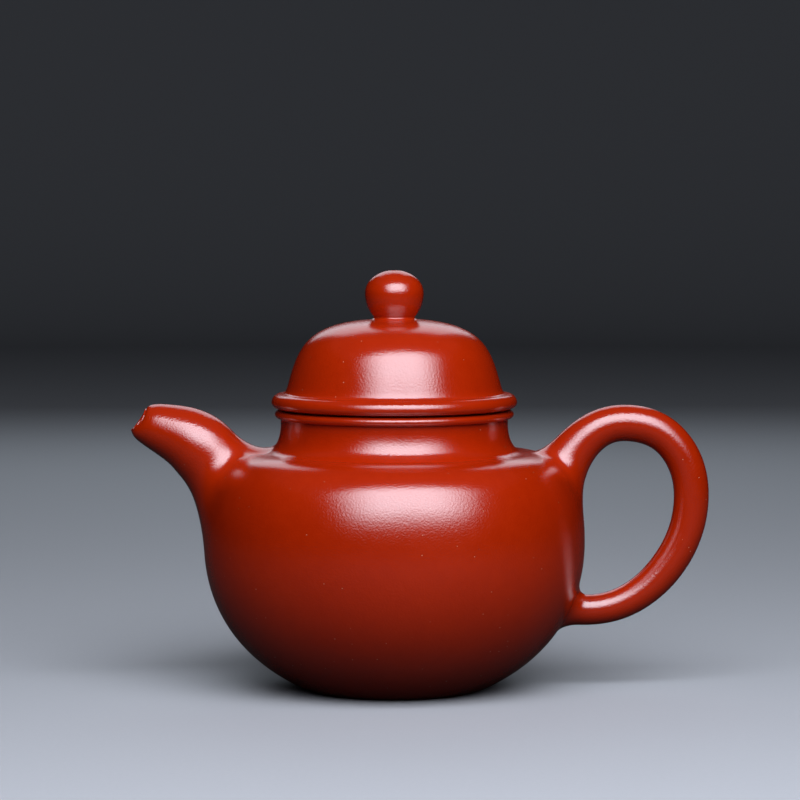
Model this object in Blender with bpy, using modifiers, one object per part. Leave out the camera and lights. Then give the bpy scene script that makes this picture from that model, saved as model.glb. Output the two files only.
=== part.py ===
"""Clay teapot: a round belly with a shoulder disc, neck and mouth bead, a one-bend spout with its
strainer, an ear handle, and a domed lid with a seat flange, collar and pearl knob.

Metres, +Z up. The pot stands on z = 0 with its axis on Z, the spout points to -X, the handle to +X.
Every piece that a potter makes and joins with slip is one object. The lid lifts along +Z.
"""

import math

import bmesh
import bpy
from mathutils import Vector

MM = 0.001

# ---------------------------------------------------------------- driving sizes, in millimetres
STEPS = 48            # facets round every turned piece
WALL = 3.0            # thrown thickness of the clay
SLIP = 0.05           # open joint line left round pieces that are luted on

BASE_R = 20.4         # the flat the pot stands on
FLOOR = 3.2           # thickness of the base disc
BELLY_R = 43.7        # widest radius ...
BELLY_Z = 34.0        # ... and its height
SHOULDER_R = 30.5     # where the neck's cove meets the shoulder
SHOULDER_Z = 54.3
SHOULDER_SEAM_R = 34.5

NECK_R = 26.0         # narrowest part of the neck
NECK_Z = 60.4
BORE_R = 23.0         # mouth bore through disc, neck and bead
BEAD_R = 27.35
BEAD_LOW = 62.1
BEAD_TOP = 64.1

SEAT_GAP = 0.3        # air under the lid's flange
LID_Z = BEAD_TOP + SEAT_GAP
FLANGE_R = 28.1
FLANGE_T = 4.3
DOME_FOOT_R = 24.4
DOME_TOP = 20.5       # the dome's crown above the flange's underside
COLLAR_R = 22.6       # 0.4 mm clear of the bore
COLLAR_T = 2.2
COLLAR_DEPTH = 5.9
LID_BORE_R = COLLAR_R - COLLAR_T

KNOB_R = 6.7
KNOB_Z = 26.4         # knob's widest height above the flange's underside
KNOB_UP = 5.26        # its crown above that height, and the half-height of its fuller lower side
KNOB_DOWN = 7.6
KNOB_SEAT_R = 5.9
KNOB_SEAT_Z = 20.1
AIR_R = 1.0           # air hole down through knob and dome

# spout stations, root first: x, z and radius of the round section
SPOUT = [(-33.2, 40.0, 11.2), (-36.3, 44.4, 10.0), (-39.3, 48.7, 9.0), (-42.2, 52.2, 8.1),
         (-45.4, 55.4, 7.5), (-48.9, 58.0, 6.8), (-52.5, 59.8, 6.0), (-55.6, 60.85, 4.95),
         (-57.6, 61.3, 4.1), (-58.8, 61.65, 3.4), (-60.5, 62.25, 2.9)]
CHANNEL = [(-31.0, 36.5, 5.4), (-36.0, 41.8, 5.5), (-39.6, 46.8, 5.6), (-42.3, 51.4, 5.5),
           (-45.8, 55.1, 5.0), (-50.6, 58.6, 4.1), (-55.4, 60.75, 2.9), (-59.0, 61.85, 2.2),
           (-62.5, 63.0, 2.2)]
LIP = (-58.55, 61.8)            # centre of the spout's cut end
LIP_NORMAL = (-0.815, 0.58)

STRAINER_AT = (-38.6, 45.4)     # on the inside of the wall, over the spout's channel
STRAINER_R = 8.8
STRAINER_T = 1.3
HOLE_R = 0.8

# handle stations, upper root first
HANDLE = [(33.5, 43.4, 8.0), (37.2, 48.7, 6.8), (40.0, 53.0, 5.4), (44.0, 57.7, 4.6),
          (48.8, 60.5, 4.25), (54.2, 61.0, 4.2), (60.7, 59.1, 4.15), (65.5, 54.3, 4.1),
          (67.8, 48.4, 4.05), (68.1, 42.3, 4.0), (66.8, 35.8, 3.95), (63.5, 29.2, 3.9),
          (58.3, 23.3, 3.75), (52.2, 19.5, 3.6), (46.0, 18.0, 3.5), (41.3, 18.1, 3.75),
          (36.5, 18.9, 4.6)]

CLAY = (0.46, 0.075, 0.022)


# ---------------------------------------------------------------- profiles, as (radius, height) lists
def bezier(p0, p1, p2, p3, count):
    points = []
    for i in range(count + 1):
        t = i / count
        a, b, c, d = (1 - t) ** 3, 3 * (1 - t) ** 2 * t, 3 * (1 - t) * t * t, t**3
        points.append(tuple(a * p0[k] + b * p1[k] + c * p2[k] + d * p3[k] for k in (0, 1)))
    return points


def arc(centre, radius, start, end, count, squash=1.0):
    """Points from start to end in degrees; squash scales the height."""
    points = []
    for i in range(count + 1):
        a = math.radians(start + (end - start) * i / count)
        points.append((centre[0] + radius * math.cos(a), centre[1] + radius * squash * math.sin(a)))
    return points


def inset(points, distance):
    """The line moved square to itself, to the left of its run down the outside."""
    moved = []
    for i, (r, z) in enumerate(points):
        before, after = points[max(i - 1, 0)], points[min(i + 1, len(points) - 1)]
        dr, dz = after[0] - before[0], after[1] - before[1]
        length = math.hypot(dr, dz)
        moved.append((r + dz / length * distance, z - dr / length * distance))
    return moved


def cut(points, axis, low, high):
    """The part of a line whose radius (axis 0) or height (axis 1) lies between low and high."""
    kept = []
    for a, b in zip(points, points[1:]):
        ends = []
        for limit in (low, high):
            if (a[axis] - limit) * (b[axis] - limit) < 0:
                t = (limit - a[axis]) / (b[axis] - a[axis])
                ends.append((t, tuple(a[k] + t * (b[k] - a[k]) for k in (0, 1))))
        if low <= a[axis] <= high:
            kept.append(a)
        kept += [point for _, point in sorted(ends)]
    if low <= points[-1][axis] <= high:
        kept.append(points[-1])
    return kept


SHOULDER = bezier((SHOULDER_R, SHOULDER_Z), (38.6, SHOULDER_Z + 0.05),
                  (BELLY_R, BELLY_Z + 13.8), (BELLY_R, BELLY_Z), 12)
BELLY = bezier((BELLY_R, BELLY_Z), (BELLY_R, BELLY_Z - 16.1), (34.8, 6.3), (BASE_R, 0.0), 14)
OUTSIDE = SHOULDER + BELLY[1:]
INSIDE = inset(OUTSIDE, WALL)
INSIDE_SHOULDER = INSIDE[:len(SHOULDER)]
INSIDE_BELLY = INSIDE[len(SHOULDER) - 1:]
COVE = bezier((NECK_R, NECK_Z), (NECK_R + 0.1, 56.9), (27.7, 55.2), (SHOULDER_R, SHOULDER_Z), 8)
DOME = bezier((0.0, DOME_TOP), (20.2, DOME_TOP + 0.15), (21.9, 14.3), (DOME_FOOT_R, 5.3), 14)
DOME_INSIDE = inset(DOME, WALL)


# ---------------------------------------------------------------- scene
def clear_scene():
    for obj in list(bpy.data.objects):
        bpy.data.objects.remove(obj, do_unlink=True)


def collection(name, cutters=False):
    made = bpy.data.collections.new(name)
    bpy.context.scene.collection.children.link(made)
    made.hide_render = cutters
    return made


def clay(name, shade=1.0, roughness=0.38):
    made = bpy.data.materials.new(name)
    made.use_nodes = True
    shader = made.node_tree.nodes["Principled BSDF"]
    colour = tuple(c * shade for c in CLAY) + (1.0,)
    shader.inputs["Base Color"].default_value = colour
    shader.inputs["Roughness"].default_value = roughness
    shader.inputs["Metallic"].default_value = 0.0
    made.diffuse_color = colour
    return made


def add(name, data, material=None):
    obj = bpy.data.objects.new(name, data)
    if material:
        data.materials.append(material)
        PARTS.objects.link(obj)
    else:
        obj.display_type = "WIRE"
        obj.hide_render = True
        CUTTERS.objects.link(obj)
    return obj


def turned(name, profile, material=None, closed=False, steps=STEPS):
    """A profile, run down its outer side, turned round Z. A closed one is a ring clear of the axis."""
    mesh = bpy.data.meshes.new(name)
    edges = [(i, i + 1) for i in range(len(profile) - 1)]
    if closed:
        edges.append((len(profile) - 1, 0))
    mesh.from_pydata([(r * MM, 0, z * MM) for r, z in profile], edges, [])
    obj = add(name, mesh, material)
    screw = obj.modifiers.new("turn", "SCREW")
    screw.axis = "Z"
    screw.steps = screw.render_steps = steps
    screw.use_merge_vertices = True
    screw.merge_threshold = 0.00001
    screw.use_smooth_shade = True
    return obj


def rolled(name, stations, material=None, sides=6, along=4):
    """A roll of clay: a curve through the stations in the XZ plane, bevelled and capped, as a mesh."""
    curve = bpy.data.curves.new(name + "_curve", "CURVE")
    curve.dimensions = "3D"
    curve.bevel_depth = MM
    curve.bevel_resolution = sides
    curve.resolution_u = along
    curve.use_fill_caps = True
    curve.twist_mode = "MINIMUM"
    spline = curve.splines.new("BEZIER")
    spline.bezier_points.add(len(stations) - 1)
    spline.radius_interpolation = "CARDINAL"
    for point, (x, z, radius) in zip(spline.bezier_points, stations):
        point.co = (x * MM, 0, z * MM)
        point.handle_left_type = point.handle_right_type = "AUTO"
        point.radius = radius
    guide = bpy.data.objects.new(name + "_guide", curve)
    CUTTERS.objects.link(guide)
    bpy.context.view_layer.update()
    graph = bpy.context.evaluated_depsgraph_get()
    mesh = bpy.data.meshes.new_from_object(guide.evaluated_get(graph))
    bpy.data.objects.remove(guide)
    mesh.name = name
    work = bmesh.new()
    work.from_mesh(mesh)
    bmesh.ops.remove_doubles(work, verts=work.verts, dist=1e-6)
    bmesh.ops.recalc_face_normals(work, faces=work.faces)
    work.to_mesh(mesh)
    work.free()
    for face in mesh.polygons:
        face.use_smooth = True
    return add(name, mesh, material)


def boolean(obj, operation, other):
    made = obj.modifiers.new(f"{operation.lower()} {other.name}", "BOOLEAN")
    made.operation = operation
    made.solver = "EXACT"
    made.object = other


# ---------------------------------------------------------------- the pot
def build_envelopes():
    """Turned solids that the spout, handle and strainer are trimmed to."""
    joint = inset(COVE + OUTSIDE[1:], -SLIP)
    outer = [(0, BEAD_TOP), (NECK_R + SLIP, BEAD_TOP)] + joint + [(joint[-1][0], -1.0), (0, -1.0)]
    turned("outside_envelope", outer)
    skin = inset(OUTSIDE, WALL + SLIP)
    skin = [p for p in skin if p[1] > FLOOR]
    turned("cavity_envelope", [(0, skin[0][1])] + skin + [(0, skin[-1][1])])


def build_pot():
    foot = cut(BELLY, 1, 0.0, FLOOR)
    turned("base_disc", [(0, FLOOR)] + foot + [(0, 0)], clay("base_clay", 0.85))

    outer = cut(SHOULDER, 0, SHOULDER_SEAM_R, BELLY_R + 1) + cut(BELLY, 1, FLOOR, BELLY_Z)[1:]
    inner = cut(INSIDE_SHOULDER, 0, SHOULDER_SEAM_R, BELLY_R) + cut(INSIDE_BELLY, 1, FLOOR, BELLY_Z)[1:]
    wall = turned("body_wall", outer + inner[::-1], clay("belly_clay"), closed=True)

    top = [(BORE_R, SHOULDER_Z)] + cut(SHOULDER, 0, 0, SHOULDER_SEAM_R)
    under = [(BORE_R, SHOULDER_Z - WALL)] + cut(INSIDE_SHOULDER, 0, 0, SHOULDER_SEAM_R)
    turned("shoulder_disc", top + under[::-1], clay("shoulder_clay"), closed=True)

    neck = [(BORE_R, BEAD_LOW), (NECK_R, BEAD_LOW)] + COVE + [(BORE_R, SHOULDER_Z)]
    turned("neck_ring", neck, clay("neck_clay"), closed=True)

    half = (BEAD_TOP - BEAD_LOW) / 2
    edge = arc((BEAD_R - 1.35, BEAD_LOW + half), 1.35, 90, -90, 8, squash=half / 1.35)
    turned("mouth_bead", [(BORE_R, BEAD_TOP)] + edge + [(BORE_R, BEAD_LOW)],
           clay("bead_clay"), closed=True)
    return wall


def build_spout(wall):
    envelope = bpy.data.objects["outside_envelope"]
    channel = rolled("spout_channel", CHANNEL, sides=4, along=3)
    spout = rolled("spout", SPOUT, clay("spout_clay"), sides=6, along=4)
    boolean(spout, "DIFFERENCE", envelope)
    boolean(spout, "DIFFERENCE", channel)
    boolean(spout, "DIFFERENCE", lip_cutter())
    boolean(wall, "DIFFERENCE", channel)


def lip_cutter():
    """A block whose lower face is the plane of the spout's cut end."""
    mesh = bpy.data.meshes.new("lip_cutter")
    work = bmesh.new()
    bmesh.ops.create_cube(work, size=1.0)
    bmesh.ops.scale(work, vec=(0.03, 0.03, 0.02), verts=work.verts)
    bmesh.ops.translate(work, vec=(0, 0, 0.01), verts=work.verts)
    work.to_mesh(mesh)
    work.free()
    block = add("lip_cutter", mesh)
    block.location = (LIP[0] * MM, 0, LIP[1] * MM)
    block.rotation_euler = (0, math.atan2(LIP_NORMAL[0], LIP_NORMAL[1]), 0)
    return block


def build_strainer():
    """A pierced dome over the inside of the spout hole, sat on the belly's inner skin."""
    outer = arc((0, 0), STRAINER_R, 90, -90, 12)
    inner = arc((0, 0), STRAINER_R - STRAINER_T, 90, -90, 12)
    dome = turned("strainer_dome", outer, clay("strainer_clay", 0.9), steps=28)
    hollow = turned("strainer_hollow", inner, steps=28)
    inward = Vector((-STRAINER_AT[0], 0, BELLY_Z - 9.0 - STRAINER_AT[1])).normalized()
    tilt = inward.to_track_quat("Z", "Y").to_euler()
    for obj in (dome, hollow):
        obj.location = (STRAINER_AT[0] * MM, 0, STRAINER_AT[1] * MM)
        obj.rotation_euler = tilt
    boolean(dome, "DIFFERENCE", hollow)
    boolean(dome, "INTERSECT", bpy.data.objects["cavity_envelope"])
    boolean(dome, "DIFFERENCE", hole_pins(tilt))


def hole_pins(tilt):
    """Nineteen pins that point out of the dome's centre: one, then rings of six and twelve."""
    mesh = bpy.data.meshes.new("hole_pins")
    work = bmesh.new()
    rings = [(0, 1, 0), (24, 6, 0), (47, 12, 15)]
    for lean, count, turn in rings:
        for i in range(count):
            made = bmesh.ops.create_cone(work, cap_ends=True, segments=8, radius1=HOLE_R * MM,
                                         radius2=HOLE_R * MM, depth=5 * MM)["verts"]
            bmesh.ops.translate(work, vec=(0, 0, STRAINER_R * MM), verts=made)
            spin = math.radians(turn + 360 * i / count)
            aim = Vector((math.sin(math.radians(lean)) * math.cos(spin),
                          math.sin(math.radians(lean)) * math.sin(spin),
                          math.cos(math.radians(lean))))
            bmesh.ops.rotate(work, matrix=aim.to_track_quat("Z", "Y").to_matrix(), verts=made)
    work.to_mesh(mesh)
    work.free()
    pins = add("hole_pins", mesh)
    pins.location = (STRAINER_AT[0] * MM, 0, STRAINER_AT[1] * MM)
    pins.rotation_euler = tilt
    return pins


def build_handle():
    handle = rolled("handle", HANDLE, clay("handle_clay"), sides=5, along=2)
    boolean(handle, "DIFFERENCE", bpy.data.objects["outside_envelope"])


# ---------------------------------------------------------------- the lid
def build_lid():
    """Heights run from the flange's underside, where the lid's empty sits on the lift axis."""
    axis = bpy.data.objects.new("lid_lift_axis", None)
    axis.location = (0, 0, LID_Z * MM)
    PARTS.objects.link(axis)

    edge_r = FLANGE_T / 2
    edge = arc((FLANGE_R - 2.1, edge_r), 2.1, 90, -90, 12, squash=edge_r / 2.1)
    flange = turned("lid_flange", [(LID_BORE_R, FLANGE_T)] + edge + [(LID_BORE_R, 0)],
                    clay("flange_clay"), closed=True)

    cove = bezier((DOME_FOOT_R, 5.3), (24.55, 4.75), (24.8, 4.4), (25.5, FLANGE_T), 4)
    seat = [(AIR_R, KNOB_SEAT_Z), (KNOB_SEAT_R, KNOB_SEAT_Z)]
    outer = [p for p in DOME if p[0] > KNOB_SEAT_R + 0.3]
    rim = cut(DOME, 0, 0, KNOB_SEAT_R)[-1]
    inner = [p for p in DOME_INSIDE if p[0] > AIR_R + 0.5]
    inner = [(AIR_R, DOME_TOP - WALL)] + inner + [(inner[-1][0], FLANGE_T)]
    dome = turned("lid_dome", seat + [rim] + outer + cove[1:] + inner[::-1], clay("dome_clay"), closed=True)

    collar = [(LID_BORE_R, 0), (COLLAR_R, 0), (COLLAR_R, 0.6 - COLLAR_DEPTH),
              (COLLAR_R - 0.6, -COLLAR_DEPTH), (LID_BORE_R, -COLLAR_DEPTH)]
    ring = turned("lid_collar", collar, clay("collar_clay", 0.9), closed=True)

    crown = math.degrees(math.acos(AIR_R / KNOB_R))
    ball = arc((0, KNOB_Z), KNOB_R, crown, 0, 9, squash=KNOB_UP / KNOB_R)
    ball += arc((0, KNOB_Z), KNOB_R, 0, -44, 6, squash=KNOB_DOWN / KNOB_R)[1:]
    foot_r = KNOB_SEAT_R - 2 * SLIP
    waist = bezier(ball[-1], (4.6, 20.95), (4.9, 20.7), (foot_r, KNOB_SEAT_Z + 0.3), 5)[1:]
    knob = turned("knob", ball + waist + [(foot_r, KNOB_SEAT_Z), (AIR_R, KNOB_SEAT_Z)],
                  clay("knob_clay"), closed=True)

    for piece in (flange, dome, ring, knob):
        piece.parent = axis


clear_scene()
PARTS = collection("clay_teapot")
CUTTERS = collection("clay_teapot_cutters", cutters=True)
build_envelopes()
build_spout(build_pot())
build_strainer()
build_handle()
build_lid()
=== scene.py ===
"""A red clay teapot: turned pot and lid, rolled spout and ear handle, strainer, and a stage.

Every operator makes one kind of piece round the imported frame, in metres, with the pot's axis on Z,
the spout toward -X and the handle toward +X.
"""

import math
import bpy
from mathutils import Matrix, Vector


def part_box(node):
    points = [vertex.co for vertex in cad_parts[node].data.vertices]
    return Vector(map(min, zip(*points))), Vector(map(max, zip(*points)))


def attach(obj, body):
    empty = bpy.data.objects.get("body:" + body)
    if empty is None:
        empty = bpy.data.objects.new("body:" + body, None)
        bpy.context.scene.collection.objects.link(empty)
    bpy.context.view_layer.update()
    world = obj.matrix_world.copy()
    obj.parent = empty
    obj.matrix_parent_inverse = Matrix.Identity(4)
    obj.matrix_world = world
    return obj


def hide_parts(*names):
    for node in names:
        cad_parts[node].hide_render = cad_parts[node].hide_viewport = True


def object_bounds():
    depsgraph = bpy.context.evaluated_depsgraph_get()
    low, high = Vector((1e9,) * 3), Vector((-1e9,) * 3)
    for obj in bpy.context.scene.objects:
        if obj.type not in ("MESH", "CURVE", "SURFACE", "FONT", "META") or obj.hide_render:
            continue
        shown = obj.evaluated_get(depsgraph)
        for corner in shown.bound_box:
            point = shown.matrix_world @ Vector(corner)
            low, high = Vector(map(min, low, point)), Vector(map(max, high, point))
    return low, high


bl_info = {
    "name": "Clay Teapot",
    "version": (1, 0, 0),
    "blender": (4, 5, 0),
    "location": "3D View > Sidebar > Teapot",
    "description": "Turns, rolls and fires the pieces of a small red clay teapot",
    "category": "Add Mesh",
}

import bmesh
import bpy
import numpy as np
from bpy.props import (BoolProperty, FloatProperty, FloatVectorProperty, IntProperty,
                       PointerProperty)
from mathutils import Vector

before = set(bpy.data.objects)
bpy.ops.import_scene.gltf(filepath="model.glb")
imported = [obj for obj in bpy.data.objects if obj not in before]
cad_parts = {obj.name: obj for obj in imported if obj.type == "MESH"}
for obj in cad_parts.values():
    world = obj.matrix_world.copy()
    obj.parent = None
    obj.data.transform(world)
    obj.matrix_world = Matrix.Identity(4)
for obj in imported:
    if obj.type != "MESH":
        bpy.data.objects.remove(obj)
CAD_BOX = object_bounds()

MM = 0.001
TAU = 2 * math.pi


def edge_of(node, high, axis):
    """One coordinate of a frame node's box, in millimetres."""
    return round(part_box(node)[high]["xyz".index(axis)] / MM, 3)


# ---------------- sizes, in millimetres
# read from the frame; the lid's own sizes are heights above its seat
FLOOR = edge_of("base_disc", 1, "z")
BELLY_R = edge_of("body_wall", 1, "y")
SEAM_R = edge_of("shoulder_disc", 1, "y")
SHOULDER_Z = edge_of("neck_ring", 0, "z")
BEAD_R = edge_of("mouth_bead", 1, "y")
BEAD_LOW = edge_of("mouth_bead", 0, "z")
BEAD_TOP = edge_of("mouth_bead", 1, "z")
LID_Z = edge_of("lid_flange", 0, "z")
FLANGE_R = edge_of("lid_flange", 1, "y")
COLLAR_R = edge_of("lid_collar", 1, "y")
COLLAR_DEPTH = LID_Z - edge_of("lid_collar", 0, "z")
KNOB_R = edge_of("knob", 1, "y")
KNOB_TOP = edge_of("knob", 1, "z") - LID_Z

# the pot's outside: where the belly is widest, and the base, shoulder, neck and bore
BELLY_Z = 34.0
BASE_R = 20.4
SHOULDER_R = 30.5
NECK_R = 26.0
NECK_Z = 60.4
NECK_STRAIGHT = 0.8       # straight clay between the neck's cove and the bead
BORE_R = 23.0
BEAD_ROUND = 1.35
LIP_ROUND = 0.4
SHOULDER_PULL = ((38.6, SHOULDER_Z - 0.10), (BELLY_R, BELLY_Z + 13.9))
BELLY_PULL = ((BELLY_R, BELLY_Z - 16.1), (34.8, 6.3))
COVE_PULL = ((NECK_R + 0.15, 57.3), (27.3, SHOULDER_Z + 0.04))

# the lid: its dome, the valley round the dome's foot, the flange's roll, the collar and the knob
DOME_FOOT_R = 24.4
DOME_FOOT_Z = 5.3
DOME_PULL_R = 20.2        # how far out the crown runs nearly level
DOME_PULL_RISE = 0.15
DOME_SIDE_PULL = (21.9, 14.3)
VALLEY_PULL = ((24.82, 3.8), (25.1, 3.42))
FLANGE_SEAM_R = 25.5
FLANGE_ROLL_R = 2.0
FLANGE_ROLL_Z = 1.4
SKIRT_ROUND = 0.6
TUCK_ROUND = 0.5
KNOB_Z = 26.4
KNOB_SEAT_R = 5.9
KNOB_SEAT_Z = 20.1
KNOB_DROP = 7.6           # half height of the knob's lower half, were it to close
KNOB_WAIST_AT = -44       # degrees below the knob's middle where its waist begins
KNOB_WAIST_PULL = (4.55, 20.85)
KNOB_FOOT_PULL_R = 5.0
HOLE_ROUND = 0.35

# the height that the lined faces of each piece look toward
LINING_Z = {"neck_ring": SHOULDER_Z - 0.3, "mouth_bead": BEAD_LOW + 0.5}
POT_LINING_Z = 28.0
LID_LINING_Z = LID_Z + 2.0

# the spout's first rings: the upper and the lower point, and half the width
SPOUT_MOUTH = [((-56.75, 64.30), (-60.25, 59.10), 3.10), ((-56.60, 64.62), (-59.95, 58.30), 3.60),
               ((-56.20, 65.02), (-59.35, 57.45), 4.12), ((-55.60, 65.27), (-58.55, 56.70), 4.53),
               ((-54.60, 65.42), (-57.35, 55.85), 4.95)]
# the rest of the spout, its channel and the handle, as (x, height, radius) down the middle
SPOUT_STATIONS = [(-52.6, 59.6, 5.93), (-48.8, 58.2, 6.96), (-45.0, 55.87, 7.8),
                  (-41.85, 52.5, 7.97), (-39.2, 48.8, 8.45), (-36.25, 44.45, 10.05)]
CHANNEL_MOUTH = [((-57.02, 63.72), (-59.81, 59.57), 2.5)]
CHANNEL = [(-55.9, 60.7, 3.2), (-50.6, 58.6, 4.1), (-45.8, 55.1, 5.0), (-42.3, 51.4, 5.5),
           (-39.6, 46.8, 5.6), (-36.0, 41.8, 5.5), (-31.0, 36.5, 5.4)]
HANDLE = [(33.5, 43.4, 8.0), (37.2, 48.7, 6.8), (40.0, 53.0, 5.4), (44.0, 57.7, 4.6),
          (48.8, 60.5, 4.25), (54.2, 61.0, 4.2), (60.7, 59.1, 4.15), (65.5, 54.3, 4.1),
          (67.8, 48.4, 4.05), (68.1, 42.3, 4.0), (66.8, 35.8, 3.95), (63.5, 29.2, 3.9),
          (58.3, 23.3, 3.75), (52.2, 19.5, 3.6), (46.0, 18.0, 3.5), (41.3, 18.1, 3.6),
          (36.5, 18.9, 3.7)]
MOUTH_NORMAL = np.array((-0.83, 0.0, 0.558))
MOUTH_FADE = 2.2          # how far down the spout the dip of its rim dies away
STRAINER_AT = (-38.6, 45.4)
STRAINER_R = 8.8
STRAINER_AIM_DROP = 9.0   # how far below the belly's widest point the strainer looks
RING_LEAN = math.radians(23.5)
ROOT_DEPTH = 1.4          # how deep under the pot's outside a luted root ends
ROOT_TUCK = 0.97          # how far out the first ring under the outside lies
CREASE = 0.6              # edges that bend more than this stay sharp, in radians

# how each root is luted to the pot: landing points up and down the profile as (radius, height),
# half the width as an angle, then for the upper, side and lower lines the station where the fillet
# leaves the tube, how far it runs on along the tube, and how far it runs along the pot
SPOUT_ROOT = {"side": -1, "upper": (27.1, 56.2), "lower": (43.7, 31.0), "angle": 0.42,
              "start": (7.6, 7.7, 8.5), "leave": (7.5, 5.5, 4.0), "land": (1.0, 6.5, 5.0)}
HANDLE_TOP = {"side": 1, "upper": (30.3, 54.3), "lower": (43.55, 38.0), "angle": 0.31,
              "start": (2.35, 2.3, 1.65), "leave": (3.5, 4.0, 3.0), "land": (2.8, 5.5, 3.2)}
HANDLE_FOOT = {"side": 1, "upper": (42.75, 25.5), "lower": (36.9, 12.6), "angle": 0.19,
               "start": (14.25, 14.35, 14.7), "leave": (2.2, 2.8, 2.8), "land": (2.2, 2.6, 1.5)}


# the stage, in metres and degrees
LIT_POINT = (0.0, 0.0, 0.05)
FLOOR_DROP = 0.00005      # the floor lies this far under the base, so that the two never flicker
CAMERA_AT = (0.0013, -0.8, 0.121)
CAMERA_DIP = 3.912
CAMERA_LENS = 157.5


# ---------------- properties
class PotSizes(bpy.types.PropertyGroup):
    """Sizes of the thrown pot"""
    wall: FloatProperty(
        name="Wall", description="Thickness of the thrown clay", default=0.003, min=0.001,
        max=0.006, unit="LENGTH")
    segments: IntProperty(
        name="Wheel Segments", description="Facets round each turned piece", default=256, min=32,
        max=512)
    foot_round: FloatProperty(
        name="Foot Rounding", description="Rounding where the belly meets the base",
        default=0.0007, min=0.0001, max=0.002, unit="LENGTH")


class LidSizes(bpy.types.PropertyGroup):
    """Sizes of the lid"""
    dome_height: FloatProperty(
        name="Dome Height", description="Crown of the dome above the seat", default=0.0205,
        min=0.015, max=0.03, unit="LENGTH")
    collar_wall: FloatProperty(
        name="Collar Wall", description="Thickness of the fitting collar", default=0.0022,
        min=0.001, max=0.004, unit="LENGTH")
    air_hole: FloatProperty(
        name="Air Hole Radius", description="Radius of the hole down through the knob",
        default=0.001, min=0.0005, max=0.002, unit="LENGTH")


class SpoutSizes(bpy.types.PropertyGroup):
    """Sizes of the spout and its strainer"""
    rim_dip: FloatProperty(
        name="Rim Dip", description="How far the mouth's rim dips at its sides", default=0.0007,
        min=0.0, max=0.002, unit="LENGTH")
    strainer_wall: FloatProperty(
        name="Strainer Wall", description="Thickness of the pierced dome", default=0.0013,
        min=0.0005, max=0.003, unit="LENGTH")
    hole: FloatProperty(
        name="Hole Radius", description="Radius of each strainer hole", default=0.0008,
        min=0.0003, max=0.002, unit="LENGTH")
    around: IntProperty(
        name="Segments Round", description="Facets round the spout and the handle", default=112,
        min=24, max=256)


class ClayFinish(bpy.types.PropertyGroup):
    """Colour and surface of the fired clay"""
    colour: FloatVectorProperty(
        name="Clay Colour", description="Colour of the burnished outside", subtype="COLOR",
        size=3, default=(0.425, 0.0195, 0.0006), min=0, max=1)
    deep: FloatVectorProperty(
        name="Deep Colour", description="Darker tone that drifts through the clay",
        subtype="COLOR", size=3, default=(0.37, 0.0155, 0.0005), min=0, max=1)
    inside: FloatVectorProperty(
        name="Inner Colour", description="Colour of the unburnished inside", subtype="COLOR",
        size=3, default=(0.34, 0.046, 0.011), min=0, max=1)
    fleck: FloatVectorProperty(
        name="Fleck Colour", description="Colour of the pale mineral flecks", subtype="COLOR",
        size=3, default=(0.62, 0.30, 0.19), min=0, max=1)
    roughness: FloatProperty(
        name="Burnish", description="Roughness of the burnished outside", default=0.165, min=0.05,
        max=1.0, subtype="FACTOR")


class StageSettings(bpy.types.PropertyGroup):
    """Floor, lights and camera"""
    floor: FloatVectorProperty(
        name="Floor Colour", description="Colour of the pale floor", subtype="COLOR", size=3,
        default=(0.46, 0.47, 0.49), min=0, max=1)
    bounce: FloatProperty(
        name="Floor Bounce", description="Share of the floor's light that reaches the pot",
        default=0.05, min=0, max=1, subtype="FACTOR")
    key: FloatProperty(
        name="Key Light", description="Power of the large front softbox", default=12.2, min=0,
        max=200, unit="POWER")
    back: FloatProperty(
        name="Back Light", description="Power of the cool softbox behind", default=0.92, min=0,
        max=200, unit="POWER")
    sky: FloatProperty(
        name="Sky", description="Brightness of the dim surroundings", default=0.022, min=0, max=2)


class TeapotSettings(bpy.types.PropertyGroup):
    """Everything a user may change"""
    pot: PointerProperty(type=PotSizes, name="Pot", description="Sizes of the pot")
    lid: PointerProperty(type=LidSizes, name="Lid", description="Sizes of the lid")
    spout: PointerProperty(type=SpoutSizes, name="Spout", description="Sizes of the spout")
    finish: PointerProperty(
        type=ClayFinish, name="Finish", description="Colour and surface of the clay")
    stage: PointerProperty(
        type=StageSettings, name="Stage", description="Floor, lights and camera")
    show_inside: BoolProperty(
        name="Raw Inside", description="Leave the inside unburnished", default=True)


# ---------------- profiles, as (radius, height) lists
def bezier(p0, p1, p2, p3, count):
    """Points along a cubic curve."""
    t = np.linspace(0, 1, count + 1)[:, None]
    points = [np.asarray(p, float) for p in (p0, p1, p2, p3)]
    line = ((1 - t) ** 3 * points[0] + 3 * (1 - t) ** 2 * t * points[1]
            + 3 * (1 - t) * t * t * points[2] + t**3 * points[3])
    return [tuple(p) for p in line]


def arc(centre, radius, start, end, count, squash=1.0):
    """Points from start to end in degrees; squash scales the height."""
    a = np.radians(np.linspace(start, end, count + 1))
    return list(zip(centre[0] + radius * np.cos(a), centre[1] + radius * squash * np.sin(a)))


def inset(points, distance):
    """The line moved square to itself, inward from a run down the outside."""
    line = np.array(points)
    run = np.gradient(line, axis=0)
    run /= np.linalg.norm(run, axis=1)[:, None]
    return [tuple(p) for p in line + distance * np.stack([run[:, 1], -run[:, 0]], 1)]


def cut(points, axis, low, high):
    """The part of a line whose radius (axis 0) or height (axis 1) lies between low and high."""
    kept = []
    for a, b in zip(points, points[1:]):
        ends = []
        for limit in (low, high):
            if (a[axis] - limit) * (b[axis] - limit) < 0:
                t = (limit - a[axis]) / (b[axis] - a[axis])
                ends.append((t, tuple(a[k] + t * (b[k] - a[k]) for k in (0, 1))))
        if low <= a[axis] <= high:
            kept.append(a)
        kept += [point for _, point in sorted(ends)]
    if low <= points[-1][axis] <= high:
        kept.append(points[-1])
    return kept


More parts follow.
